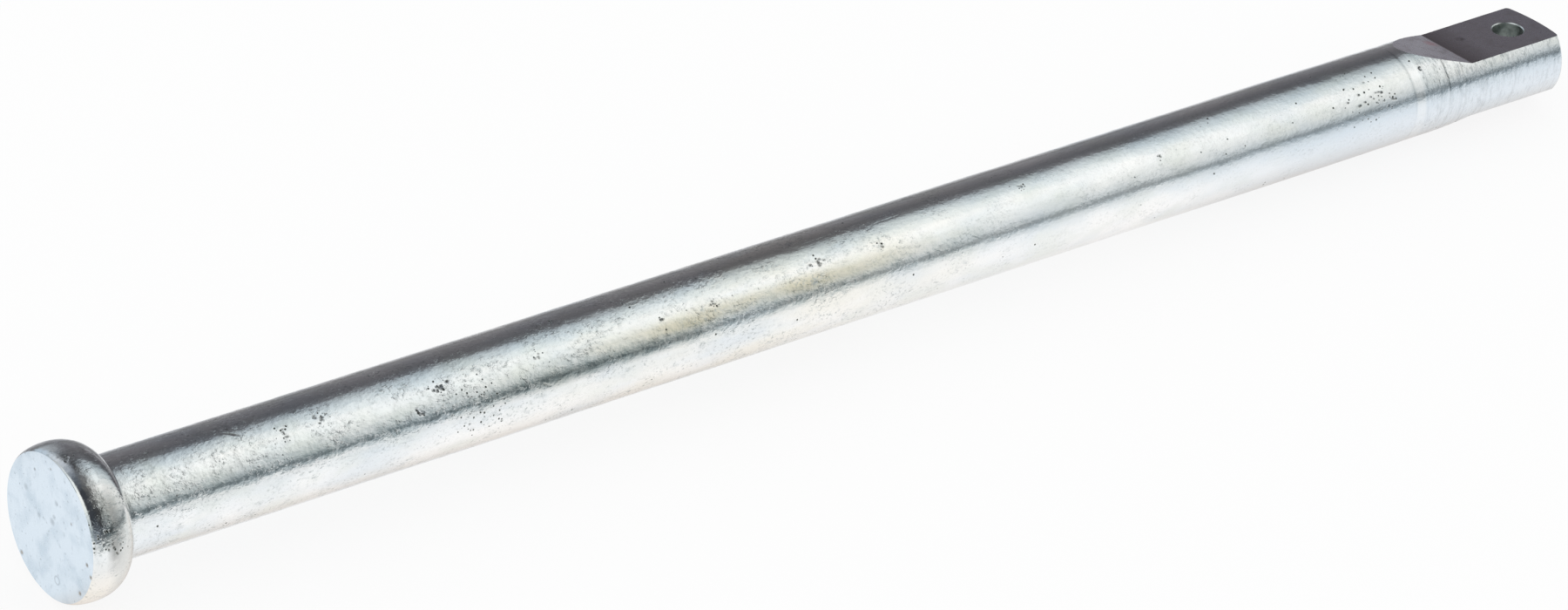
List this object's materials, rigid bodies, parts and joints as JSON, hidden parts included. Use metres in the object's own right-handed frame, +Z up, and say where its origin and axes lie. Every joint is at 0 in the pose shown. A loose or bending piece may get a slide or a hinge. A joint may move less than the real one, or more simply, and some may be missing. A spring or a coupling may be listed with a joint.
{
  "type": "headed retaining pin",
  "caption": "Long round steel pin with an upset head; the other end is milled flat on two sides and cross-drilled for a split pin or clip.",
  "frame": {"origin": "on the surface that the pin lies on, under the middle of its bounding box", "axes": "+X from the head to the tip, +Z up; the pin's own axis dips by 0.94 degrees towards the tip, as it rests on the rim of its head and on the shank, and it is turned by 9 degrees about that axis, so that the upper flat leans towards +Y"},
  "size_m": [0.18, 0.0152, 0.0152],
  "materials": {
    "zinc_plated_steel": "bright zinc plating, semi-gloss, lightly pitted"
  },
  "bodies": {
    "root": {"retaining_pin": "zinc_plated_steel"}
  },
  "joints": []
}
